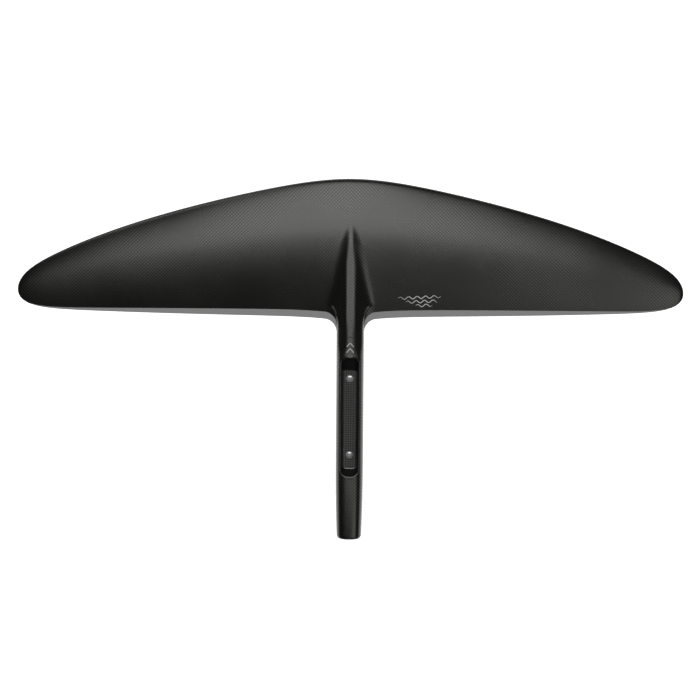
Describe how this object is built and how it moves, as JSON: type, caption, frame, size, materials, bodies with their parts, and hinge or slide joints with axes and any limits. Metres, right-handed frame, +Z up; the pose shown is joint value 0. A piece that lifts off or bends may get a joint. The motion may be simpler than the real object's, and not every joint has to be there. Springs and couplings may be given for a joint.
{
  "type": "hydrofoil mast wing",
  "caption": "Hydrofoil front wing in woven black carbon with a swept, tapered outline, a slim moulded-on fuselage and a recessed pocket for the foot of the mast.",
  "frame": {"origin": "centre of the mast seat on the pocket floor, midway between the two mast screw holes", "axes": "+X to the right wing tip, +Y forward to the leading edge, +Z up out of the mast pocket"},
  "size_m": [0.8, 0.4447, 0.033],
  "materials": {
    "carbon": "satin",
    "strip": "matte",
    "core": "matte",
    "metal": "satin"
  },
  "bodies": {
    "root": {"wing_upper_skin": "carbon", "wing_lower_skin": "carbon", "leading_edge_strip": "carbon", "spar_cap_upper": "carbon", "spar_cap_lower": "carbon", "shear_web": "core", "foam_core_front_left": "core", "foam_core_front_right": "core", "foam_core_rear_left": "core", "foam_core_rear_right": "core", "foam_core_outer_left": "core", "foam_core_outer_right": "core", "trailing_edge_strip_left": "strip", "trailing_edge_strip_right": "strip", "tip_block_left": "carbon", "tip_block_right": "carbon", "fuselage_upper_shell": "carbon", "fuselage_lower_shell": "carbon", "fuselage_core_front": "core", "fuselage_core_rear": "core", "mast_block": "carbon", "mast_pocket_liner": "carbon", "mast_seat_plate": "carbon", "screw_sleeve_front": "metal", "screw_sleeve_rear": "metal", "tail_insert_block": "carbon", "tail_insert_front": "metal", "tail_insert_rear": "metal", "tail_end_cap": "carbon"}
  },
  "joints": []
}
